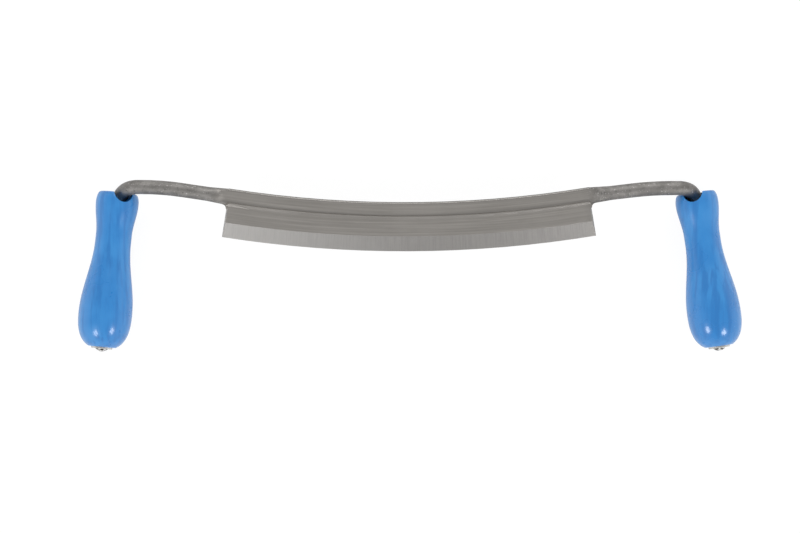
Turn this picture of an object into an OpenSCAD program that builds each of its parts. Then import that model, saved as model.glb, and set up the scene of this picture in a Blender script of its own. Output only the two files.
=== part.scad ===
// Curved drawknife: one forging, two turned handles and the two washers that its tangs are peened over.
// It lies on its handles with the bevel up. +X runs from the left handle to the right one, -Y towards the user.

/* [Blade] */
// Straight length of the cutting edge, from corner to corner
blade_l = 254; // [220:1:290]
// Radius of the curved cutting edge
edge_r = 800; // [650:10:1100]
// Width of the blade, from its spine to its edge
blade_w = 33.2; // [31:0.2:36]
// Width of the thick rib along the spine
rib_w = 9.2; // [8.4:0.1:10.6]
// Thickness of the rib
rib_t = 7; // [6.2:0.1:8]
// Thickness of the blade between the rib and the bevel
web_t = 5; // [4.2:0.1:5.6]
// Radius of the hollow at the foot of the rib
rib_hollow_r = 3; // [2.6:0.1:4]
// Radius of the rounded spine
spine_round_r = 1.4; // [0.6:0.1:2.4]
// Width of the ground bevel
bevel_w = 10.1; // [8:0.1:12]
// Thickness left at the cutting edge
edge_t = 0.3; // [0.2:0.05:0.6]
// How far each end face leans in from its lower edge to the top
end_rake = 1.3; // [0.4:0.1:2]
// Radius of the corner between each tang and the blade's end
corner_r = 2.7; // [1.6:0.1:3.6]
// Turn of the blade from the line across the handles, seen from above
blade_skew = 0.22; // [-0.8:0.02:0.8]

/* [Tangs] */
// Diameter of the round tangs
tang_d = 9.6; // [8.8:0.1:10]
// Width to which a tang spreads where it is flattened into the blade
root_w = 11.2; // [10.4:0.1:11.8]
// Distance from the spine to the top of a tang, at the blade's end
root_drop = 0.1; // [0:0.05:0.6]
// Length over which a tang is flattened to the rib's thickness
swage_l = 14; // [8:0.5:18]
// Distance from the blade's end to the axis of the left handle
left_tang_l = 71; // [64:0.1:80]
// Distance from the blade's end to the axis of the right handle
right_tang_l = 68.2; // [64:0.1:80]
// Distance of the tangs' outer runs behind the corners of the edge
tang_run = 33; // [31.5:0.1:36]
// How much further back the left tang runs than the right one
tang_lean = 0.7; // [-1:0.1:1]
// Distance from a handle's axis back to the knee of its tang
knee_back = 30.5; // [29:0.1:34]
// Length of tang that the knee's bend takes up on each side
knee_leg = 14; // [9:0.5:15]
// Height of the tangs above the handles' axes
crank_h = 9.5; // [8.6:0.1:10.4]
// Distance from the left handle's axis back to where its tang turns down
left_crank_back = 8.6; // [5:0.1:9]
// Distance from the right handle's axis back to where its tang turns down
right_crank_back = 7; // [5:0.1:9]
// Depth in the handle at which the tang reaches the axis
crank_in = 2; // [1.6:0.1:3.4]
// How much fuller than the straight tang its bends are, from forging
bend_swell = 0.02; // [0.02:0.01:0.05]
// Depth in the handle at which the tang starts to taper
taper_from = 22; // [16:1:36]
// Depth in the handle at which the taper ends
taper_to = 88; // [70:1:94]
// Diameter of the tang's tip, which passes through the washer
tip_d = 6; // [5:0.1:7]
// Diameter of the head that is peened on the tip
peen_d = 8.6; // [7.6:0.1:9.4]
// Height of the peened head
peen_h = 1.9; // [1.4:0.1:2.6]

/* [Handles] */
// Length of the wood
handle_l = 105.3; // [98:0.1:116]
// Distance of the mouths from the tangs' outer runs
mouth_back = 3.35; // [3:0.05:4.2]
// Largest diameter of the collar behind the mouth
collar_d = 29; // [27.6:0.1:31]
// Depth of the widest point of the collar
collar_at = 7; // [5:0.5:10]
// How much smaller the radius of the mouth is than the collar's
mouth_round = 2.6; // [1.6:0.1:3.4]
// Diameter of the neck
neck_d = 24.3; // [22:0.1:26]
// Depth at which the neck is reached
neck_at = 28.5; // [26:0.5:33]
// Length of the straight neck
neck_l = 5.5; // [1:0.5:8]
// Diameter of the bulge
bulge_d = 36.2; // [33:0.1:39]
// Depth of the widest point of the bulge
bulge_at = 82.5; // [74:0.5:86]
// Fullness of the rounded end, where 2 is an ellipse
end_fullness = 2.6; // [2.2:0.1:3.4]
// Angle at which the left handle splays out
left_splay = 5.8; // [3:0.1:12]
// Angle at which the right handle splays out
right_splay = 8.4; // [3:0.1:12]
// Gap between the wood and the tang
tang_fit = 0.15; // [0.1:0.05:0.3]

/* [Mouth notches] */
// Radius of the notch that clears the bend of the tang
notch_r = 6.5; // [5.8:0.1:7.2]
// Turn of the left notch from straight up towards the blade
left_notch_turn = 25; // [5:1:35]
// Turn of the right notch from straight up towards the blade
right_notch_turn = 17; // [5:1:35]

/* [Washers] */
// Diameter of a washer
washer_d = 14.6; // [13:0.1:18]
// Thickness of a washer
washer_t = 1.3; // [0.8:0.1:2]
// Chamfer on a washer's outer rim
washer_chamfer = 0.3; // [0.1:0.05:0.5]
// Gap between a washer and the tip that passes through it
washer_fit = 0.2; // [0.1:0.05:0.4]
// Width of flat wood left round a washer
seat_rim = 2; // [0.4:0.1:3]

/* [Hidden] */
$fn = 96;
sweep_fn = 720;
profile_steps = 14;

tang_r = tang_d / 2;
root_r = root_w / 2;
root_set = root_drop + root_r;
spine_r = edge_r - blade_w;
end_angle = asin(blade_l / 2 / edge_r);
bow_centre_y = edge_r * cos(end_angle);
mouth_y = tang_run - mouth_back;

// Radius of a handle at a depth from its mouth, in five stretches that run into each other
seat_r = washer_d / 2 + seat_rim;
end_reach = (handle_l - bulge_at) / pow(1 - pow(2 * seat_r / bulge_d, end_fullness), 1 / end_fullness);
function eased(from, to, share) = from + (to - from) * (1 - cos(180 * share)) / 2;
function handle_r(depth) =
    depth < collar_at
        ? collar_d / 2 - mouth_round * (1 - sqrt(1 - pow(1 - depth / collar_at, 2)))
    : depth < neck_at ? eased(collar_d / 2, neck_d / 2, (depth - collar_at) / (neck_at - collar_at))
    : depth < neck_at + neck_l ? neck_d / 2
    : depth < bulge_at
        ? eased(neck_d / 2, bulge_d / 2, (depth - neck_at - neck_l) / (bulge_at - neck_at - neck_l))
    : bulge_d / 2 * pow(1 - pow((depth - bulge_at) / end_reach, end_fullness), 1 / end_fullness);

// Depths at which the profile has a point, closer together where it turns quickly
function spread(from, to, power) =
    [for (i = [1:profile_steps]) from + (to - from) * (1 - pow(1 - i / profile_steps, power))];
depths = concat(
    [for (i = [0:9]) collar_at * (1 - cos(10 * i))],
    spread(collar_at, neck_at, 1),
    spread(neck_at + neck_l, bulge_at, 1),
    spread(bulge_at, handle_l, 1.6)
);

// The handles lie on collar and bulge, so their axes rise towards the ends
lie_angle = asin((bulge_d - collar_d) / 2 / (bulge_at - collar_at));
mouth_z = max([for (d = depths) handle_r(d) * cos(lie_angle) - d * sin(lie_angle)]);
tang_z = mouth_z + crank_h;
back_z = tang_z - rib_t / 2;

// What differs between the sides: mouth's distance from the middle, splay, notch's turn, blade's turn,
// and the tang's run and where it turns down
LEFT = [blade_l / 2 + left_tang_l, left_splay, left_notch_turn, -blade_skew, tang_run + tang_lean / 2,
    left_crank_back];
RIGHT = [blade_l / 2 + right_tang_l, right_splay, right_notch_turn, blade_skew, tang_run - tang_lean / 2,
    right_crank_back];
function reach(side) = side[0];
function splay(side) = side[1];
function notch_turn(side) = side[2];
function skew(side) = side[3];
function run(side) = side[4];
function crank_back(side) = side[5];

// A handle's axis: unit vector down its length, and the point at a depth
function axis_of(side) =
    [sin(splay(side)) * cos(lie_angle), -cos(splay(side)) * cos(lie_angle), sin(lie_angle)];
function on_axis(side, depth) = [reach(side), mouth_y, mouth_z] + depth * axis_of(side);

// Corners of a tang's route, from the blade's end to the far end of the handle
function turned(point, angle) =
    [point.x * cos(angle) - point.y * sin(angle), point.x * sin(angle) + point.y * cos(angle)];
function tang_start(side) = let (p = turned([(spine_r + root_set) * sin(end_angle),
    bow_centre_y - (spine_r + root_set) * cos(end_angle)], skew(side))) [p.x, p.y, tang_z];
function route(side) = [
    tang_start(side),
    [reach(side) - knee_back, run(side), tang_z],
    [reach(side) - crank_back(side), run(side), tang_z],
    on_axis(side, crank_in),
    on_axis(side, handle_l)
];

// Bends: unit directions, the angle at a corner, and the length of leg that a bend takes up
function unit(v) = v / norm(v);
function turn_at(pts, i) = acos(unit(pts[i] - pts[i - 1]) * unit(pts[i + 1] - pts[i]));
crank_share = 0.94;
function crank_r(pts) =
    crank_share * norm(pts[3] - pts[2]) / (tan(turn_at(pts, 2) / 2) + tan(turn_at(pts, 3) / 2));
function bend_r(pts, i) = i == 1 ? knee_leg / tan(turn_at(pts, 1) / 2) : crank_r(pts);
function leg(pts, i) = bend_r(pts, i) * tan(turn_at(pts, i) / 2);

// The lowest and widest reach of each side, which centre the whole on the origin
peen_r = (pow(peen_d / 2, 2) + pow(peen_h, 2)) / (2 * peen_h);
peen_angle = asin(peen_d / 2 / peen_r);
peen_seat = handle_l + washer_t;
peen_profile = [for (i = [0:8]) let (a = peen_angle * (1 - i / 8))
    [peen_seat + peen_h - peen_r * (1 - cos(a)), peen_r * sin(a)]];
turned_profile = concat(
    [for (d = depths) [d, handle_r(d)]],
    [[handle_l + washer_t - washer_chamfer, washer_d / 2]],
    peen_profile
);
function wide_reach(side) = max([for (p = turned_profile)
    on_axis(side, p[0]).x + p[1] * sqrt(1 - pow(axis_of(side).x, 2))]);
function low_reach(side) = min([for (p = turned_profile)
    on_axis(side, p[0]).y - p[1] * sqrt(1 - pow(axis_of(side).y, 2))]);
middle_x = (wide_reach(RIGHT) - wide_reach(LEFT)) / 2;
middle_y = (max(run(LEFT), run(RIGHT)) + tang_r + bend_swell + min(low_reach(LEFT), low_reach(RIGHT))) / 2;
module centred() translate([-middle_x, -middle_y, 0]) children();

// The right side as it is, or the left side as its mirror image
module on_side(side) mirror([side == LEFT ? 1 : 0, 0, 0]) children();

// Local frames: X down a handle's axis from its mouth, and Z along a line from one point to the next
module at_handle(side)
    translate([reach(side), mouth_y, mouth_z]) rotate([0, -lie_angle, splay(side) - 90]) children();
module along(from, to) {
    d = to - from;
    translate(from) rotate([0, acos(d.z / norm(d)), atan2(d.y, d.x)]) children();
}

// One bend of a round bar, as an arc of a ring
module bend(pts, i, bar_r) {
    ahead = unit(pts[i] - pts[i - 1]);
    inward = unit(unit(pts[i + 1] - pts[i]) - (ahead * unit(pts[i + 1] - pts[i])) * ahead);
    normal = cross(ahead, inward);
    centre = pts[i] - leg(pts, i) * ahead + bend_r(pts, i) * inward;
    multmatrix([
        [-inward.x, ahead.x, normal.x, centre.x],
        [-inward.y, ahead.y, normal.y, centre.y],
        [-inward.z, ahead.z, normal.z, centre.z],
        [0, 0, 0, 1]
    ])
        rotate_extrude(angle = turn_at(pts, i), $fn = sweep_fn / 6)
            translate([bend_r(pts, i), 0]) circle(bar_r, $fn = 64);
}

// The straight bar between two bends, which ends inside both of them
lap = 0.4;
module straight(pts, i, bar_r) {
    ahead = unit(pts[i + 1] - pts[i]);
    along(pts[i] + (leg(pts, i) - lap) * ahead, pts[i + 1])
        cylinder(h = norm(pts[i + 1] - pts[i]) - leg(pts, i) - leg(pts, i + 1) + 2 * lap, r = bar_r);
}

// A tang with some gap all round: nothing for the tang itself, the fit for its hole in the wood
root_l = 4;
module tang(side, gap) {
    pts = route(side);
    bar_r = tang_r + gap;
    along(pts[0], pts[1])
        rotate_extrude()
            polygon([
                [0, -root_l], [root_r - root_l / 2, -root_l], [root_r, 0], [bar_r, swage_l],
                [bar_r, norm(pts[1] - pts[0]) - knee_leg + lap], [0, norm(pts[1] - pts[0]) - knee_leg + lap]
            ]);
    for (i = [1:3]) bend(pts, i, bar_r + bend_swell);
    for (i = [1:2]) straight(pts, i, bar_r);
    at_handle(side) rotate([0, 90, 0]) rotate_extrude() polygon(shank_profile(pts, gap));
}

// The tang inside the handle: straight, tapered, then the tip
function shank_profile(pts, gap) = concat(
    [[0, crank_in + leg(pts, 3) - lap], [tang_r + gap, crank_in + leg(pts, 3) - lap]],
    [[tang_r + gap, taper_from], [tip_d / 2 + gap, taper_to]],
    gap > 0
        ? [[tip_d / 2 + gap, handle_l + washer_t], [0, handle_l + washer_t]]
        : concat([[tip_d / 2, peen_seat]], [for (p = peen_profile) [p[1], p[0]]])
);

// Slanted cuts that bring a tang down to the rib's thickness where it enters the blade
module swage_cuts(side) {
    pts = route(side);
    slant = atan((tang_r - rib_t / 2) / swage_l);
    d = pts[1] - pts[0];
    translate(pts[0]) rotate([0, 0, atan2(d.y, d.x)])
        for (m = [0, 1]) mirror([0, 0, m])
            translate([0, 0, rib_t / 2]) rotate([0, -slant, 0])
                translate([-2 * root_l, -tang_d, 0]) cube([2 * root_l + 1.5 * swage_l, 2 * tang_d, tang_d]);
}

// Section of the blade, with its flat back on the X axis and the spine nearest the origin
module blade_section() {
    difference() {
        polygon([
            [spine_r, 0], [spine_r, rib_t], [spine_r + rib_w, rib_t],
            [spine_r + rib_w + hollow_run, web_t], [edge_r - bevel_w, web_t],
            [edge_r, edge_t], [edge_r, 0]
        ]);
        translate([spine_r, rib_t - spine_round_r]) difference() {
            translate([-1, 0]) square([spine_round_r + 1, spine_round_r + 1]);
            translate([spine_round_r, 0]) circle(spine_round_r, $fn = 48);
        }
        translate([spine_r + rib_w + hollow_run, web_t + rib_hollow_r]) circle(rib_hollow_r, $fn = 64);
    }
}
hollow_run = sqrt(pow(rib_hollow_r, 2) - pow(rib_hollow_r - (rib_t - web_t), 2));

// The frame of a blade's end: X from the bow's centre towards the edge, Y outwards past the end
module at_blade_end(side)
    translate([0, 0, back_z]) rotate([0, 0, skew(side)])
        translate([0, bow_centre_y, 0]) rotate([0, 0, end_angle - 90]) children();

// The web that fills the corner between a tang and the blade's end, with its round
module corner_web() {
    foot = spine_r + root_set + root_r;
    linear_extrude(web_t) difference() {
        translate([spine_r + root_set, -corner_r]) square([root_r + corner_r, 2 * corner_r]);
        translate([foot + corner_r, corner_r]) circle(corner_r, $fn = 64);
    }
}

// What the leaning end face takes off
module end_cut() {
    foot = spine_r + root_set + root_r + corner_r;
    translate([foot, 0, 0]) rotate([atan(end_rake / web_t), 0, 0])
        cube([edge_r - foot + blade_w, blade_w, 2 * rib_t]);
}

module blade() color([0.53, 0.51, 0.49]) centred() {
    rotate([0, 0, blade_skew]) translate([0, bow_centre_y, back_z]) rotate([0, 0, -90 - end_angle])
        difference() {
            rotate_extrude(angle = 2 * end_angle, $fn = sweep_fn) blade_section();
            mirror([0, 1, 0]) end_cut();
            rotate([0, 0, 2 * end_angle]) end_cut();
        }
    for (side = [LEFT, RIGHT]) on_side(side) {
        at_blade_end(side) corner_web();
        difference() {
            tang(side, 0);
            swage_cuts(side);
        }
    }
}

// The turned wood, with the tang's hole and the notch that opens its mouth
module handle(side) centred() on_side(side) difference() {
    at_handle(side) rotate([0, 90, 0]) rotate_extrude()
        polygon(concat([[0, 0]], [for (d = depths) [handle_r(d), d]], [[0, handle_l]]));
    tang(side, tang_fit);
    at_handle(side) rotate([notch_turn(side), 0, 0]) {
        sphere(notch_r);
        cylinder(h = collar_d, r = notch_r);
    }
}
module left_handle() color([0.21, 0.53, 0.80]) handle(LEFT);
module right_handle() color([0.21, 0.53, 0.80]) handle(RIGHT);

module washer(side) centred() on_side(side) at_handle(side) rotate([0, 90, 0]) rotate_extrude()
    polygon([
        [tip_d / 2 + washer_fit, handle_l], [washer_d / 2, handle_l],
        [washer_d / 2, handle_l + washer_t - washer_chamfer],
        [washer_d / 2 - washer_chamfer, handle_l + washer_t], [tip_d / 2 + washer_fit, handle_l + washer_t]
    ]);
module left_washer() color([0.72, 0.72, 0.70]) washer(LEFT);
module right_washer() color([0.72, 0.72, 0.70]) washer(RIGHT);

blade();
left_handle();
right_handle();
left_washer();
right_washer();
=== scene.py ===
"""Looks of a curved drawknife: a forged blade with cranked tangs, two blue handles and their washers.

Lengths are in metres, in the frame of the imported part: +X from the left handle to the right one, -Y towards
the user, +Z up, with the table at z = 0. TurnedHandle alone holds its sizes in millimetres.
"""

import logging
import math
from dataclasses import dataclass, field
from enum import Enum

import bmesh
import bpy
from mathutils import Matrix, Vector


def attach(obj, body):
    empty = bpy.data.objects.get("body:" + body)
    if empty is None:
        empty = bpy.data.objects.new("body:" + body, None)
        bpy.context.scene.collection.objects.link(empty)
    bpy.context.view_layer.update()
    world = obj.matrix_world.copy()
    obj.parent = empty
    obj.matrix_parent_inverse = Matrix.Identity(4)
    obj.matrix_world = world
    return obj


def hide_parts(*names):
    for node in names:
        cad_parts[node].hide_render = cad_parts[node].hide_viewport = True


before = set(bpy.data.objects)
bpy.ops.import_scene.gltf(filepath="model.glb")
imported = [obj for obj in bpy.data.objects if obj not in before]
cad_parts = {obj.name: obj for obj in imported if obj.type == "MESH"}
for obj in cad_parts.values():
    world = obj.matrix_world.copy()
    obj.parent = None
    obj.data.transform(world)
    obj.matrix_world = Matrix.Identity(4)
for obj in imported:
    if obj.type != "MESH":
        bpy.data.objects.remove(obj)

logging.basicConfig(level=logging.INFO, format="%(message)s")
LOG = logging.getLogger("drawknife")

MM = 0.001
WELD = 0.002 * MM
SLIVER = 0.0005 * MM
PHOTO_W = 800
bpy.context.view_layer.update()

Socket = bpy.types.NodeSocket
Colour = tuple[float, float, float]
Place = tuple[float, float, float]
# Factors by which three coordinates are stretched
Stretch = tuple[float, float, float]
# Scale, octaves and roughness of a noise
Noise = tuple[float, float, float]
# Low and high end of a source range, then the results at both
Ramp = tuple[float, float, float, float]

WHITE = (1.0, 1.0, 1.0, 1.0)
# Where a Mix node has its colours
COLOURS_IN = (6, 7)
COLOUR_OUT = 2


class Side(Enum):
    """The two sides of the tool, with the sign of their X."""

    LEFT = -1
    RIGHT = 1


@dataclass
class Graph:
    """A node tree being built, with short ways to add and join its nodes."""

    tree: bpy.types.NodeTree

    def add(self, kind: str, **settings: object) -> bpy.types.Node:
        """Adds a node.

        Args:
            kind: The node's type name.
            settings: Values for the node's own properties.

        Returns:
            The new node.
        """
        node = self.tree.nodes.new(kind)
        for name, value in settings.items():
            setattr(node, name, value)
        return node

    def feed(self, node: bpy.types.Node, name: str | int, value: object) -> None:
        """Gives an input a value, or joins it to another node's output.

        Args:
            node: The node that has the input.
            name: The input's name or number.
            value: An output socket, or a plain value.
        """
        socket = node.inputs[name]
        if isinstance(value, Socket):
            self.tree.links.new(value, socket)
        else:
            socket.default_value = value

    def math(self, operation: str, *values: object) -> Socket:
        """Adds a Math node.

        Args:
            operation: The node's operation.
            values: Its inputs, sockets or numbers.

        Returns:
            The result's socket.
        """
        node = self.add("ShaderNodeMath", operation=operation)
        for index, value in enumerate(values):
            self.feed(node, index, value)
        return node.outputs[0]

    def times(self, first: object, second: object) -> Socket:
        """Multiplies two numbers and returns the product's socket."""
        return self.math("MULTIPLY", first, second)

    def combine(self, x: object, y: object, z: object) -> Socket:
        """Joins three numbers into a vector.

        Args:
            x: The first number.
            y: The second number.
            z: The third number.

        Returns:
            The vector's socket.
        """
        node = self.add("ShaderNodeCombineXYZ")
        for index, value in enumerate((x, y, z)):
            self.feed(node, index, value)
        return node.outputs[0]

    def noise(self, vector: object, scale: float, detail: float, rough: float) -> Socket:
        """Adds a Noise texture.

        Args:
            vector: The coordinates that it reads.
            scale: Its scale.
            detail: How many octaves it has.
            rough: How strong the fine octaves are.

        Returns:
            The socket of its value, from 0 to 1.
        """
        node = self.add("ShaderNodeTexNoise")
        self.feed(node, "Vector", vector)
        self.feed(node, "Scale", scale)
        self.feed(node, "Detail", detail)
        self.feed(node, "Roughness", rough)
        return node.outputs["Fac"]

    def stretched_noise(self, parts: tuple[Socket, ...], stretch: Stretch, noise: Noise) -> Socket:
        """Adds a Noise texture that is drawn out along some of its coordinates.

        Args:
            parts: The three coordinates.
            stretch: The factor of each.
            noise: The noise's own settings.

        Returns:
            The socket of its value, from 0 to 1.
        """
        scaled = [self.times(part, factor) for part, factor in zip(parts, stretch)]
        return self.noise(self.combine(*scaled), *noise)

    def ramp(self, value: object, low: float, high: float, to_low: float, to_high: float) -> Socket:
        """Maps a range to another smoothly, held at both ends.

        Args:
            value: The number to map.
            low: Where the source range starts.
            high: Where it ends.
            to_low: The result at low.
            to_high: The result at high.

        Returns:
            The result's socket.
        """
        node = self.add("ShaderNodeMapRange", interpolation_type="SMOOTHSTEP")
        for index, item in enumerate((value, low, high, to_low, to_high)):
            self.feed(node, index, item)
        return node.outputs["Result"]

    def mix(self, share: object, first: object, second: object) -> Socket:
        """Mixes two colours.

        Args:
            share: The second colour's share.
            first: A colour or its socket.
            second: A colour or its socket.

        Returns:
            The mixed colour's socket.
        """
        node = self.add("ShaderNodeMix", data_type="RGBA")
        self.feed(node, 0, share)
        for index, value in zip(COLOURS_IN, (first, second)):
            self.feed(node, index, (*value, 1.0) if isinstance(value, tuple) else value)
        return node.outputs[COLOUR_OUT]

    def bump(self, height: object, strength: float, distance: float) -> Socket:
        """Adds a Bump node.

        Args:
            height: The relief that it reads.
            strength: How much of it shows.
            distance: How deep a relief of 1 is.

        Returns:
            The socket of its normal.
        """
        node = self.add("ShaderNodeBump")
        self.feed(node, "Strength", strength)
        self.feed(node, "Distance", distance)
        self.feed(node, "Height", height)
        return node.outputs[0]


def new_material(name: str) -> tuple[bpy.types.Material, Graph, bpy.types.Node]:
    """Makes a node material with one Principled shader.

    Args:
        name: The material's name.

    Returns:
        The material, its graph and the shader node.
    """
    material = bpy.data.materials.new(name)
    material.use_nodes = True
    graph = Graph(material.node_tree)
    return material, graph, material.node_tree.nodes["Principled BSDF"]


def object_axes(graph: Graph) -> tuple[Socket, tuple[Socket, ...]]:
    """Adds the Object coordinates.

    Args:
        graph: The graph to add them to.

    Returns:
        The vector's socket, and the sockets of its three parts.
    """
    place = graph.add("ShaderNodeTexCoord").outputs["Object"]
    split = graph.add("ShaderNodeSeparateXYZ")
    graph.feed(split, 0, place)
    return place, tuple(split.outputs)


def link_object(name: str, data: bpy.types.ID) -> bpy.types.Object:
    """Makes an object from its data and puts it in the scene.

    Args:
        name: The object's name.
        data: Its mesh, curve, lamp or camera.

    Returns:
        The object.
    """
    made = bpy.data.objects.new(name, data)
    bpy.context.scene.collection.objects.link(made)
    return made


def finish_mesh(mesh: bpy.types.Mesh, material: bpy.types.Material, sharp_deg: float) -> None:
    """Shades a mesh smoothly and gives it its only material.

    Args:
        mesh: The mesh.
        material: Its material.
        sharp_deg: The angle above which an edge stays sharp, in degrees.
    """
    mesh.shade_smooth()
    mesh.set_sharp_from_angle(angle=math.radians(sharp_deg))
    mesh.materials.clear()
    mesh.materials.append(material)


@dataclass(frozen=True)
class ForgedSteel:
    """Bare forged steel, with grain along the blade, grinding across the bevel and pits on the tangs."""

    name: str = "forged_steel"
    # The bow that the blade follows, and the bands across it
    bow_centre: tuple[float, float] = (-0.00361, 0.80987)
    edge_r: float = 0.800
    blade_w: float = 0.0332
    rib_w: float = 0.0092
    bevel_w: float = 0.0101
    blade_half: float = 0.1270
    handle_end_y: float = -0.048
    # How far each finish runs into the next one
    blade_fade: tuple[float, float] = (0.004, 0.010)
    bevel_fade: float = 0.0002
    peened_fade: float = 0.002
    spine_fade: float = 0.0024
    foot_rise: tuple[float, float] = (-0.0022, -0.0002)
    foot_fall: tuple[float, float] = (0.0012, 0.0034)
    # Colours
    body: Colour = (0.375, 0.355, 0.330)
    body_light: Colour = (0.51, 0.485, 0.455)
    bevel: Colour = (0.365, 0.352, 0.340)
    bevel_dark: Colour = (0.315, 0.304, 0.294)
    tang: Colour = (0.225, 0.215, 0.204)
    tang_light: Colour = (0.300, 0.288, 0.275)
    # Dark scale in the tangs' pits, also the colour of the painted shade on the spine and at the rib's foot
    scale_and_painted_shade: Colour = (0.13, 0.125, 0.12)
    # Pale flecks and struck metal, also the colour of the painted sheen on the bevel's left part
    fleck_and_sheen: Colour = (0.78, 0.77, 0.75)
    peened_dark: Colour = (0.05, 0.042, 0.038)
    # Patterns that follow the bow: stretched along it, across it and upwards
    grain_stretch: Stretch = (9.0, 900.0, 1.0)
    grain_noise: Noise = (1.0, 6.0, 0.62)
    mark_stretch: Stretch = (1300.0, 60.0, 1.0)
    mark_noise: Noise = (1.0, 5.0, 0.6)
    streak_stretch: Stretch = (14.0, 420.0, 1.0)
    streak_noise: Noise = (1.0, 3.0, 0.55)
    # Patterns without a direction
    cloud_noise: Noise = (28.0, 3.0, 0.55)
    pit_noise: Noise = (620.0, 3.0, 0.6)
    fleck_noise: Noise = (950.0, 2.0, 0.5)
    lump_noise: Noise = (150.0, 3.0, 0.55)
    mottle_noise: Noise = (430.0, 2.0, 0.55)
    # How much of a colour each pattern brings in
    grain_light: Ramp = (0.38, 0.64, 0.0, 0.8)
    streak_dull: Ramp = (0.45, 0.62, 0.0, 0.45)
    cloud_light: Ramp = (0.35, 0.70, 0.0, 0.28)
    lump_light: Ramp = (0.35, 0.65, 0.0, 1.0)
    pit_dark: Ramp = (0.60, 0.70, 0.0, 0.75)
    fleck_bright: Ramp = (0.64, 0.72, 0.0, 0.65)
    mark_dark: Ramp = (0.35, 0.70, 0.0, 1.0)
    mottle_dark: Ramp = (0.47, 0.54, 0.0, 1.0)
    # Painted sheen: the bevel is mixed towards the pale colour near its left end
    left_painted_sheen: Ramp = (-0.09, 0.03, 0.22, 0.0)
    # Painted shade on the spine's round and at the rib's foot
    spine_painted_shade: float = 0.80
    foot_painted_shade: float = 0.38
    # Roughness and relief
    tang_rough: float = 0.60
    blade_rough: float = 0.40
    pit_rough: float = 0.12
    peened_smooth: float = 0.36
    mark_relief: float = 0.35
    lump_relief: float = 5.0
    bump_strength: float = 0.35
    bump_depth: float = 0.09 * MM

    def bow_axes(self, g: Graph, x: Socket, y: Socket) -> tuple[Socket, Socket]:
        """Measures a place along the blade's bow and across it.

        Args:
            g: The material's graph.
            x: The place's X.
            y: The place's Y.

        Returns:
            The distance along the bow from its middle, and the distance from its centre.
        """
        across = g.math("SUBTRACT", x, self.bow_centre[0])
        down = g.math("SUBTRACT", self.bow_centre[1], y)
        radius = g.math("SQRT", g.math("ADD", g.times(across, across), g.times(down, down)))
        return g.times(g.math("ARCTAN2", across, down), self.edge_r), radius

    def body_colour(self, g: Graph, place: Socket, bowed: tuple[Socket, ...], grain: Socket) -> Socket:
        """Colours the rib and the web, with painted shade on the spine's round and at the rib's foot.

        Args:
            g: The material's graph.
            place: The Object coordinates.
            bowed: The place along the bow, across it and upwards.
            grain: The fine grain.

        Returns:
            The colour's socket.
        """
        radius = bowed[1]
        clouds = g.noise(place, *self.cloud_noise)
        streaks = g.stretched_noise(bowed, self.streak_stretch, self.streak_noise)
        body = g.mix(g.ramp(grain, *self.grain_light), self.body, self.body_light)
        body = g.mix(g.ramp(streaks, *self.streak_dull), body, self.body)
        body = g.mix(g.ramp(clouds, *self.cloud_light), body, self.body_light)
        # Painted shade darkens the spine's round and the hollow at the rib's foot, to damp the bright lines
        # there
        spine_r = self.edge_r - self.blade_w
        foot_r = spine_r + self.rib_w
        rise_from, rise_to = (foot_r + offset for offset in self.foot_rise)
        fall_from, fall_to = (foot_r + offset for offset in self.foot_fall)
        spine = g.ramp(radius, spine_r, spine_r + self.spine_fade, self.spine_painted_shade, 0.0)
        rise = g.ramp(radius, rise_from, rise_to, 0.0, self.foot_painted_shade)
        fall = g.ramp(radius, fall_from, fall_to, 1.0, 0.0)
        return g.mix(g.math("MAXIMUM", spine, g.times(rise, fall)), body, self.scale_and_painted_shade)

    def tang_colour(self, g: Graph, place: Socket, lumps: Socket, pits: Socket) -> Socket:
        """Colours the tangs.

        Args:
            g: The material's graph.
            place: The Object coordinates.
            lumps: The broad unevenness that the hammer left.
            pits: The small pits.

        Returns:
            The colour's socket.
        """
        flecks = g.noise(place, *self.fleck_noise)
        tang = g.mix(g.ramp(lumps, *self.lump_light), self.tang, self.tang_light)
        tang = g.mix(g.ramp(pits, *self.pit_dark), tang, self.scale_and_painted_shade)
        return g.mix(g.ramp(flecks, *self.fleck_bright), tang, self.fleck_and_sheen)

    def bevel_colour(self, g: Graph, x: Socket, marks: Socket) -> Socket:
        """Colours the bevel, with a painted sheen that makes its left part paler.

        Args:
            g: The material's graph.
            x: The place's X.
            marks: The grinding marks.

        Returns:
            The colour's socket.
        """
        bevel = g.mix(g.ramp(marks, *self.mark_dark), self.bevel, self.bevel_dark)
        return g.mix(g.ramp(x, *self.left_painted_sheen), bevel, self.fleck_and_sheen)

    def roughness(self, g: Graph, on_blade: Socket, pits: Socket, peened: Socket) -> Socket:
        """Works out the roughness, which is lower on the blade and on the peened ends.

        Args:
            g: The material's graph.
            on_blade: How far a place is on the blade, from 0 to 1.
            pits: The small pits.
            peened: How far it is on a peened end, from 0 to 1.

        Returns:
            The roughness's socket.
        """
        rough = g.ramp(on_blade, 0.0, 1.0, self.tang_rough, self.blade_rough)
        rough = g.math("ADD", rough, g.times(g.math("SUBTRACT", pits, 0.5), self.pit_rough))
        return g.math("SUBTRACT", rough, g.times(peened, self.peened_smooth))

    def build(self) -> bpy.types.Material:
        """Builds the material.

        Returns:
            The material.
        """
        material, g, shader = new_material(self.name)
        place, (x, y, z) = object_axes(g)
        along, radius = self.bow_axes(g, x, y)
        bowed = (along, radius, z)
        inside, outside = self.blade_fade
        blade_end = g.math("ABSOLUTE", along)
        on_blade = g.ramp(blade_end, self.blade_half - inside, self.blade_half + outside, 1.0, 0.0)
        bevel_r = self.edge_r - self.bevel_w
        past_ridge = g.ramp(radius, bevel_r - self.bevel_fade, bevel_r + self.bevel_fade, 0.0, 1.0)
        on_bevel = g.times(past_ridge, on_blade)
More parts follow.
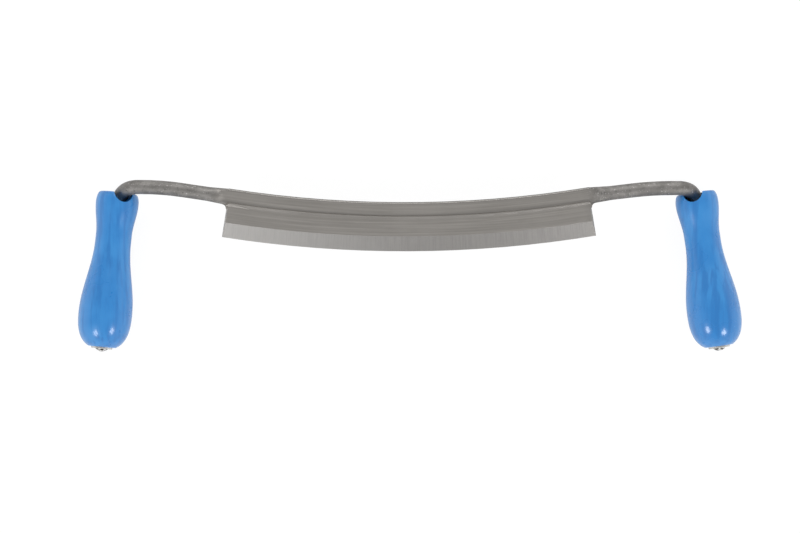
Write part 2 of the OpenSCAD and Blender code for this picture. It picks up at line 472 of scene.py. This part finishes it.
        # The fine grain runs along the blade, and the bevel's grinding marks run across it
        grain = g.stretched_noise(bowed, self.grain_stretch, self.grain_noise)
        marks = g.stretched_noise(bowed, self.mark_stretch, self.mark_noise)
        pits = g.noise(place, *self.pit_noise)
        lumps = g.noise(place, *self.lump_noise)
        tang = self.tang_colour(g, place, lumps, pits)
        steel = g.mix(on_blade, tang, self.body_colour(g, place, bowed, grain))
        steel = g.mix(on_bevel, steel, self.bevel_colour(g, x, marks))
        # The peened ends are mottled at random between pale and near-black
        peened = g.ramp(y, self.handle_end_y - self.peened_fade, self.handle_end_y, 1.0, 0.0)
        mottle = g.ramp(g.noise(place, *self.mottle_noise), *self.mottle_dark)
        steel = g.mix(peened, steel, g.mix(mottle, self.fleck_and_sheen, self.peened_dark))
        g.feed(shader, "Base Color", steel)
        g.feed(shader, "Metallic", 1.0)
        g.feed(shader, "Roughness", self.roughness(g, on_blade, pits, peened))
        ground = g.times(g.times(marks, on_bevel), self.mark_relief)
        relief = g.math("ADD", g.times(grain, on_blade), ground)
        uneven = g.math("ADD", g.times(lumps, self.lump_relief), pits)
        hammered = g.times(uneven, g.math("SUBTRACT", 1.0, on_blade))
        height = g.math("ADD", relief, hammered)
        g.feed(shader, "Normal", g.bump(height, self.bump_strength, self.bump_depth))
        return material


@dataclass(frozen=True)
class BluePaint:
    """Glossy blue enamel over turned wood, whose faint rings and brush lines show through it."""

    name: str = "blue_enamel"
    colour: Colour = (0.020, 0.222, 0.600)
    deep: Colour = (0.012, 0.175, 0.510)
    pale: Colour = (0.036, 0.275, 0.670)
    # Painted shade inside the notches round the tangs
    painted_recess_shade: Colour = (0.003, 0.004, 0.008)
    # Middles of the handles' mouths, and the distances from them over which the painted shade in the notches
    # ends
    mouths: tuple[Place, ...] = ((-0.19858, 0.04967, 0.01424), (0.19462, 0.04967, 0.01424))
    painted_shade_fade: tuple[float, float] = (0.0068, 0.0092)
    # Streaks run along the handles and rings run round them
    cloud_noise: Noise = (40.0, 3.0, 0.55)
    streak_stretch: Stretch = (260.0, 18.0, 260.0)
    streak_noise: Noise = (1.0, 3.0, 0.55)
    ring_stretch: Stretch = (12.0, 420.0, 12.0)
    ring_noise: Noise = (1.0, 3.0, 0.55)
    peel_noise: Noise = (700.0, 2.0, 0.55)
    cloud_pale: Ramp = (0.35, 0.68, 0.0, 0.8)
    streak_deep: Ramp = (0.42, 0.66, 0.0, 0.8)
    cloud_rough: Ramp = (0.3, 0.7, 0.25, 0.37)
    gloss: float = 0.5
    coat: float = 0.55
    coat_rough: float = 0.17
    coat_ior: float = 1.5
    ring_relief: float = 1.2
    peel_relief: float = 0.25
    bump_strength: float = 0.16
    bump_depth: float = 0.08 * MM

    def out_of_painted_shade(self, g: Graph, place: Socket) -> Socket:
        """Finds how far a place is out of the notches round the tangs, which get a nearly black painted shade
        inside.

        Args:
            g: The material's graph.
            place: The Object coordinates.

        Returns:
            The socket of a number that is 0 in a notch and 1 outside.
        """
        lit = 1.0
        for mouth in self.mouths:
            apart = g.add("ShaderNodeVectorMath", operation="DISTANCE")
            g.feed(apart, 0, place)
            g.feed(apart, 1, mouth)
            lit = g.times(lit, g.ramp(apart.outputs["Value"], *self.painted_shade_fade, 0.0, 1.0))
        return lit

    def build(self) -> bpy.types.Material:
        """Builds the material.

        Returns:
            The material.
        """
        material, g, shader = new_material(self.name)
        place, axes = object_axes(g)
        clouds = g.noise(place, *self.cloud_noise)
        streaks = g.stretched_noise(axes, self.streak_stretch, self.streak_noise)
        rings = g.stretched_noise(axes, self.ring_stretch, self.ring_noise)
        peel = g.noise(place, *self.peel_noise)
        paint = g.mix(g.ramp(clouds, *self.cloud_pale), self.colour, self.pale)
        paint = g.mix(g.ramp(streaks, *self.streak_deep), paint, self.deep)
        # Painted shade: inside the notches the paint turns nearly black and loses its gloss
        lit = self.out_of_painted_shade(g, place)
        g.feed(shader, "Base Color", g.mix(lit, self.painted_recess_shade, paint))
        g.feed(shader, "Roughness", g.ramp(clouds, *self.cloud_rough))
        g.feed(shader, "Specular IOR Level", g.times(lit, self.gloss))
        g.feed(shader, "Coat Weight", g.times(lit, self.coat))
        g.feed(shader, "Coat Roughness", self.coat_rough)
        g.feed(shader, "Coat IOR", self.coat_ior)
        fine = g.math("ADD", g.times(peel, self.peel_relief), streaks)
        height = g.math("ADD", g.times(rings, self.ring_relief), fine)
        normal = g.bump(height, self.bump_strength, self.bump_depth)
        g.feed(shader, "Normal", normal)
        g.feed(shader, "Coat Normal", normal)
        return material


@dataclass(frozen=True)
class WasherSteel:
    """Bright plated steel with small scuffs."""

    name: str = "washer_plate"
    bright: Colour = (0.70, 0.70, 0.68)
    dull: Colour = (0.40, 0.39, 0.37)
    scuff_noise: Noise = (900.0, 4.0, 0.65)
    scuff_dull: Ramp = (0.5, 0.7, 0.0, 0.8)
    scuff_rough: Ramp = (0.4, 0.7, 0.20, 0.38)
    bump_strength: float = 0.2
    bump_depth: float = 0.04 * MM

    def build(self) -> bpy.types.Material:
        """Builds the material.

        Returns:
            The material.
        """
        material, g, shader = new_material(self.name)
        place, _ = object_axes(g)
        scuffs = g.noise(place, *self.scuff_noise)
        g.feed(shader, "Base Color", g.mix(g.ramp(scuffs, *self.scuff_dull), self.bright, self.dull))
        g.feed(shader, "Metallic", 1.0)
        g.feed(shader, "Roughness", g.ramp(scuffs, *self.scuff_rough))
        g.feed(shader, "Normal", g.bump(scuffs, self.bump_strength, self.bump_depth))
        return material


def dressed_copy(node: str, name: str, material: bpy.types.Material, sharp_deg: float) -> bpy.types.Object:
    """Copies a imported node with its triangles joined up, so that its round faces shade smoothly.

    Args:
        node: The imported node.
        name: The new piece's name.
        material: Its material.
        sharp_deg: The angle above which an edge stays sharp, in degrees.

    Returns:
        The new piece, which stands for the node.
    """
    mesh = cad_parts[node].data.copy()
    mesh.name = name
    work = bmesh.new()
    work.from_mesh(mesh)
    bmesh.ops.remove_doubles(work, verts=work.verts, dist=WELD)
    bmesh.ops.dissolve_degenerate(work, edges=work.edges, dist=SLIVER)
    work.to_mesh(mesh)
    work.free()
    if mesh.has_custom_normals:
        mesh.attributes.remove(mesh.attributes["custom_normal"])
    finish_mesh(mesh, material, sharp_deg)
    piece = link_object(name, mesh)
    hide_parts(node)
    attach(piece, "root")
    LOG.info("%s: %d faces, stands for %s", name, len(mesh.polygons), node)
    return piece


@dataclass
class Forging:
    """The blade, both tangs and their peened ends."""

    steel: ForgedSteel = field(default_factory=ForgedSteel)
    sharp_deg: float = 14.0
    tang_sharp_deg: float = 60.0
    blade_end: float = 0.1275

    def soften_tangs(self, mesh: bpy.types.Mesh) -> None:
        """Smooths the edges of the tangs, which the hammer left round.

        Args:
            mesh: The forging's mesh, with its sharp edges marked.
        """
        work = bmesh.new()
        work.from_mesh(mesh)
        for edge in work.edges:
            beyond = min(abs(vertex.co.x) for vertex in edge.verts) > self.blade_end
            if beyond and edge.calc_face_angle(0.0) < math.radians(self.tang_sharp_deg):
                edge.smooth = True
        work.to_mesh(mesh)
        work.free()

    def build(self) -> bpy.types.Object:
        """Builds the forging.

        Returns:
            The finished piece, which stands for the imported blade.
        """
        piece = dressed_copy("blade", "forged_blade", self.steel.build(), self.sharp_deg)
        self.soften_tangs(piece.data)
        return piece


@dataclass
class TurnedHandle:
    """One handle: a turned body whose radius follows a rule, with the notch that opens its mouth.

    Its sizes are in millimetres.
    """

    side: Side
    reach: float
    splay_deg: float
    notch_turn_deg: float
    mouth: tuple[float, float] = (29.65, 14.2363)
    outline_centre: tuple[float, float] = (0.57997, -20.019)
    lie_deg: float = 2.73302
    length: float = 105.3
    collar_r: float = 14.5
    collar_at: float = 7.0
    mouth_round: float = 2.6
    neck_r: float = 12.15
    neck_at: float = 28.5
    neck_end: float = 34.0
    bulge_r: float = 18.1
    bulge_at: float = 82.5
    seat_r: float = 9.3
    fullness: float = 2.6
    notch_r: float = 6.5
    sharp_deg: float = 28.0
    # How finely the body and the two cutters are made
    sides: int = 128
    mouth_rings: int = 12
    rings_per_stretch: int = 26
    end_crowding: float = 1.6
    cutter_sides: int = 64
    cutter_rings: int = 32

    def radius(self, depth: float) -> float:
        """The rule of the turned shape.

        Args:
            depth: Distance from the mouth, in millimetres.

        Returns:
            The radius there, in millimetres.
        """
        if depth < self.collar_at:
            short = 1 - depth / self.collar_at
            return self.collar_r - self.mouth_round * (1 - math.sqrt(1 - short**2))
        if depth < self.neck_at:
            share = (depth - self.collar_at) / (self.neck_at - self.collar_at)
            return self.eased(self.collar_r, self.neck_r, share)
        if depth < self.neck_end:
            return self.neck_r
        if depth < self.bulge_at:
            share = (depth - self.neck_end) / (self.bulge_at - self.neck_end)
            return self.eased(self.neck_r, self.bulge_r, share)
        full = (1 - (self.seat_r / self.bulge_r) ** self.fullness) ** (1 / self.fullness)
        share = (depth - self.bulge_at) / ((self.length - self.bulge_at) / full)
        return self.bulge_r * (1 - share**self.fullness) ** (1 / self.fullness)

    @staticmethod
    def eased(start: float, end: float, share: float) -> float:
        """Returns a value on a half wave from start to end."""
        return start + (end - start) * (1 - math.cos(math.pi * share)) / 2

    def depths(self) -> list[float]:
        """Spreads the rings along the shape, closer together at its two ends.

        Returns:
            Their distances from the mouth, in millimetres.
        """
        count = self.rings_per_stretch
        middle_l = self.bulge_at - self.collar_at
        end_l = self.length - self.bulge_at
        turns = [math.pi / 2 * i / self.mouth_rings for i in range(self.mouth_rings)]
        mouth = [self.collar_at * (1 - math.cos(turn)) for turn in turns]
        middle = [self.collar_at + middle_l * i / (2 * count) for i in range(2 * count)]
        shares = [1 - (1 - i / count) ** self.end_crowding for i in range(count + 1)]
        return mouth + middle + [self.bulge_at + end_l * share for share in shares]

    def spine(self) -> bpy.types.Object:
        """Makes the line that the turned shape follows, with the rule's radius on each point.

        Returns:
            The line, as a curve object.
        """
        curve = bpy.data.curves.new("handle_spine", "CURVE")
        curve.dimensions = "3D"
        line = curve.splines.new("POLY")
        depths = self.depths()
        line.points.add(len(depths) - 1)
        for point, depth in zip(line.points, depths):
            point.co = (depth * MM, 0.0, 0.0, 1.0)
            point.radius = self.radius(depth) * MM
        return link_object(f"{self.side.name.lower()}_handle_spine", curve)

    def body(self, g: Graph, given: bpy.types.NodeOutputs) -> Socket:
        """Turns the line into a closed body.

        Args:
            g: The graph of the Geometry Nodes.
            given: The group's inputs.

        Returns:
            The body's socket.
        """
        ring = g.add("GeometryNodeCurvePrimitiveCircle")
        g.feed(ring, "Resolution", given["Sides"])
        g.feed(ring, "Radius", 1.0)
        body = g.add("GeometryNodeCurveToMesh")
        g.feed(body, "Curve", given["Geometry"])
        g.feed(body, "Profile Curve", ring.outputs["Curve"])
        g.feed(body, "Fill Caps", True)
        g.feed(body, "Scale", g.add("GeometryNodeInputRadius").outputs[0])
        return body.outputs["Mesh"]

    def cutters(self, g: Graph, given: bpy.types.NodeOutputs) -> tuple[Socket, Socket]:
        """Makes the two forms that cut the notch: a ball at the mouth, and a rod from it towards the blade.

        Args:
            g: The graph of the Geometry Nodes.
            given: The group's inputs.

        Returns:
            The sockets of the ball and the rod.
        """
        ball = g.add("GeometryNodeMeshUVSphere")
        g.feed(ball, "Segments", self.cutter_sides)
        g.feed(ball, "Rings", self.cutter_rings)
        g.feed(ball, "Radius", given["Notch Radius"])
        rod = g.add("GeometryNodeMeshCylinder")
        g.feed(rod, "Vertices", self.cutter_sides)
        g.feed(rod, "Radius", given["Notch Radius"])
        g.feed(rod, "Depth", given["Notch Length"])
        lift = g.add("GeometryNodeTransform")
        g.feed(lift, "Geometry", rod.outputs["Mesh"])
        g.feed(lift, "Translation", g.combine(0.0, 0.0, g.math("DIVIDE", given["Notch Length"], 2.0)))
        turn = g.add("GeometryNodeTransform")
        g.feed(turn, "Geometry", lift.outputs[0])
        g.feed(turn, "Rotation", g.combine(given["Notch Turn"], 0.0, 0.0))
        return ball.outputs["Mesh"], turn.outputs[0]

    def tree(self, material: bpy.types.Material) -> bpy.types.NodeTree:
        """Builds the Geometry Nodes that turn the line into a body and cut the notch.

        Args:
            material: The body's material.

        Returns:
            The node tree.
        """
        tree = bpy.data.node_groups.new("turned_body", "GeometryNodeTree")
        tree.interface.new_socket("Geometry", in_out="INPUT", socket_type="NodeSocketGeometry")
        tree.interface.new_socket("Sides", in_out="INPUT", socket_type="NodeSocketInt")
        for name in ("Notch Radius", "Notch Length", "Notch Turn"):
            tree.interface.new_socket(name, in_out="INPUT", socket_type="NodeSocketFloat")
        tree.interface.new_socket("Geometry", in_out="OUTPUT", socket_type="NodeSocketGeometry")
        g = Graph(tree)
        given = g.add("NodeGroupInput").outputs
        cut = self.body(g, given)
        for cutter in self.cutters(g, given):
            boolean = g.add("GeometryNodeMeshBoolean", operation="DIFFERENCE", solver="EXACT")
            g.feed(boolean, "Mesh 1", cut)
            g.feed(boolean, "Mesh 2", cutter)
            cut = boolean.outputs["Mesh"]
        real = g.add("GeometryNodeRealizeInstances")
        g.feed(real, "Geometry", cut)
        paint = g.add("GeometryNodeSetMaterial")
        g.feed(paint, "Geometry", real.outputs[0])
        g.feed(paint, "Material", material)
        g.feed(g.add("NodeGroupOutput"), "Geometry", paint.outputs[0])
        return tree

    def place(self) -> Matrix:
        """Works out where the handle lies on the tool.

        Returns:
            The matrix that takes it there from its own axis.
        """
        splay, lie = math.radians(self.splay_deg), math.radians(self.lie_deg)
        sign = self.side.value
        level = math.cos(lie)
        ahead = Vector((sign * math.sin(splay) * level, -math.cos(splay) * level, math.sin(lie)))
        flat = Vector((math.cos(splay), sign * math.sin(splay), 0.0))
        middle_x, middle_y = self.outline_centre
        mouth_y, mouth_z = self.mouth
        start = Vector((sign * self.reach - middle_x, mouth_y - middle_y, mouth_z))
        columns = (ahead, flat, ahead.cross(flat), start * MM)
        return Matrix([[c[row] for c in columns] for row in range(3)] + [[0.0, 0.0, 0.0, 1.0]])

    def turned_mesh(self, material: bpy.types.Material, name: str) -> bpy.types.Mesh:
        """Runs the Geometry Nodes and takes the result to its place on the tool.

        Args:
            material: The body's material.
            name: The mesh's name.

        Returns:
            The finished mesh.
        """
        spine = self.spine()
        modifier = spine.modifiers.new("turned", "NODES")
        modifier.node_group = self.tree(material)
        sizes = {
            "Sides": self.sides,
            "Notch Radius": self.notch_r * MM,
            "Notch Length": 2 * self.collar_r * MM,
            "Notch Turn": self.side.value * math.radians(self.notch_turn_deg),
        }
        for socket in modifier.node_group.interface.items_tree:
            if socket.in_out == "INPUT" and socket.name in sizes:
                modifier[socket.identifier] = sizes[socket.name]
        ready = spine.evaluated_get(bpy.context.evaluated_depsgraph_get())
        mesh = bpy.data.meshes.new_from_object(ready)
        bpy.data.objects.remove(spine)
        mesh.name = name
        mesh.transform(self.place())
        work = bmesh.new()
        work.from_mesh(mesh)
        bmesh.ops.remove_doubles(work, verts=work.verts, dist=WELD)
        bmesh.ops.recalc_face_normals(work, faces=work.faces)
        work.to_mesh(mesh)
        work.free()
        finish_mesh(mesh, material, self.sharp_deg)
        return mesh

    def build(self, material: bpy.types.Material) -> bpy.types.Object:
        """Builds the handle.

        Args:
            material: Its paint.

        Returns:
            The finished piece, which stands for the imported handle.
        """
        node = f"{self.side.name.lower()}_handle"
        mesh = self.turned_mesh(material, f"painted_{node}")
        piece = link_object(mesh.name, mesh)
        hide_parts(node)
        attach(piece, "root")
        LOG.info("%s: %d faces, stands for %s", piece.name, len(mesh.polygons), node)
        return piece


@dataclass
class Washers:
    """The two washers under the peened ends."""

    plate: WasherSteel = field(default_factory=WasherSteel)
    sharp_deg: float = 20.0

    def build(self) -> list[bpy.types.Object]:
        """Builds both washers.

        Returns:
            The finished pieces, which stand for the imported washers.
        """
        material = self.plate.build()
        made = []
        for side in Side:
            node = f"{side.name.lower()}_washer"
            piece = dressed_copy(node, f"plated_{node}", material, self.sharp_deg)
            made.append(piece)
        return made


@dataclass(frozen=True)
class Softbox:
    """A square soft lamp that faces the tool."""

    name: str
    place: Place
    size: float
    watts: float

    def build(self) -> None:
        """Builds the lamp."""
        data = bpy.data.lights.new(self.name, "AREA")
        data.size = self.size
        data.energy = self.watts
        lamp = link_object(self.name, data)
        lamp.location = self.place
        lamp.rotation_euler = (-Vector(self.place)).to_track_quat("-Z", "Y").to_euler()


@dataclass
class Studio:
    """The white table, the soft light and the camera straight above."""

    height: float = 1.5
    centre: tuple[float, float] = (-0.00667, -0.00044)
    metres_a_pixel: float = 0.677 * MM
    sharp_height: float = 0.024
    sensor_w: float = 36.0
    nearest: float = 0.05
    farthest: float = 20.0
    floor_size: float = 6.0
    floor_drop: float = 0.1 * MM
    paper_grey: float = 0.90
    # Share and strength of the plain white that the camera sees in place of the lit table
    glow_share: float = 0.86
    glow: float = 1.07
    # From the horizon up, the surroundings grow duller
    room_light: Ramp = (0.0, 0.80, 1.05, 0.46)
    lamps: tuple[Softbox, ...] = (
        Softbox("left_softbox", (-1.10, -1.00, 1.30), 0.50, 9.0),
        Softbox("right_softbox", (1.10, -1.00, 1.30), 0.50, 9.0),
        Softbox("back_softbox", (0.0, 1.60, 1.20), 0.90, 10.0),
    )

    def camera(self) -> None:
        """Makes the camera, which sees the tool at the photo's scale at the height of the blade."""
        data = bpy.data.cameras.new("camera")
        data.sensor_width = self.sensor_w
        data.lens = self.sensor_w * (self.height - self.sharp_height) / (PHOTO_W * self.metres_a_pixel)
        data.clip_start = self.nearest
        data.clip_end = self.farthest
        camera = link_object("camera", data)
        camera.location = (*self.centre, self.height)
        bpy.context.scene.camera = camera

    def paper(self) -> bpy.types.Material:
        """Makes the table's material, nearly white for the camera and through glass, with a trace of shadow.

        Returns:
            The material.
        """
        material = bpy.data.materials.new("white_table")
        material.use_nodes = True
        g = Graph(material.node_tree)
        material.node_tree.nodes.clear()
        path = g.add("ShaderNodeLightPath").outputs
        seen = g.math("MAXIMUM", path["Is Camera Ray"], path["Is Transmission Ray"])
        paper = g.add("ShaderNodeBsdfDiffuse")
        g.feed(paper, "Color", (self.paper_grey, self.paper_grey, self.paper_grey, 1.0))
        glow = g.add("ShaderNodeEmission")
        g.feed(glow, "Color", WHITE)
        g.feed(glow, "Strength", self.glow)
        blend = g.add("ShaderNodeMixShader")
        g.feed(blend, 0, g.times(seen, self.glow_share))
        g.feed(blend, 1, paper.outputs[0])
        g.feed(blend, 2, glow.outputs[0])
        g.feed(g.add("ShaderNodeOutputMaterial"), "Surface", blend.outputs[0])
        return material

    def floor(self) -> None:
        """Makes the table."""
        half = self.floor_size / 2
        corners = [(-half, -half, 0), (half, -half, 0), (half, half, 0), (-half, half, 0)]
        mesh = bpy.data.meshes.new("table")
        mesh.from_pydata(corners, [], [(0, 1, 2, 3)])
        mesh.materials.append(self.paper())
        table = link_object("table", mesh)
        table.location.z = -self.floor_drop

    def world(self) -> None:
        """Makes the surroundings, which are white for the camera and light the tool from all round."""
        world = bpy.data.worlds.new("studio")
        world.use_nodes = True
        bpy.context.scene.world = world
        g = Graph(world.node_tree)
        world.node_tree.nodes.clear()
        split = g.add("ShaderNodeSeparateXYZ")
        g.feed(split, 0, g.add("ShaderNodeTexCoord").outputs["Generated"])
        room = g.add("ShaderNodeBackground")
        g.feed(room, "Color", WHITE)
        g.feed(room, "Strength", g.ramp(split.outputs[2], *self.room_light))
        white = g.add("ShaderNodeBackground")
        g.feed(white, "Color", WHITE)
        blend = g.add("ShaderNodeMixShader")
        g.feed(blend, 0, g.add("ShaderNodeLightPath").outputs["Is Camera Ray"])
        g.feed(blend, 1, room.outputs[0])
        g.feed(blend, 2, white.outputs[0])
        g.feed(g.add("ShaderNodeOutputWorld"), "Surface", blend.outputs[0])

    def build(self) -> None:
        """Builds the whole studio."""
        self.camera()
        self.floor()
        self.world()
        for lamp in self.lamps:
            lamp.build()
        bpy.context.scene.view_settings.view_transform = "Standard"


def main() -> None:
    """Builds the tool and its studio in order."""
    Forging().build()
    paint = BluePaint().build()
    TurnedHandle(Side.LEFT, reach=198.0, splay_deg=5.8, notch_turn_deg=25.0).build(paint)
    TurnedHandle(Side.RIGHT, reach=195.2, splay_deg=8.4, notch_turn_deg=17.0).build(paint)
    Washers().build()
    Studio().build()


if __name__ == "__main__":
    main()
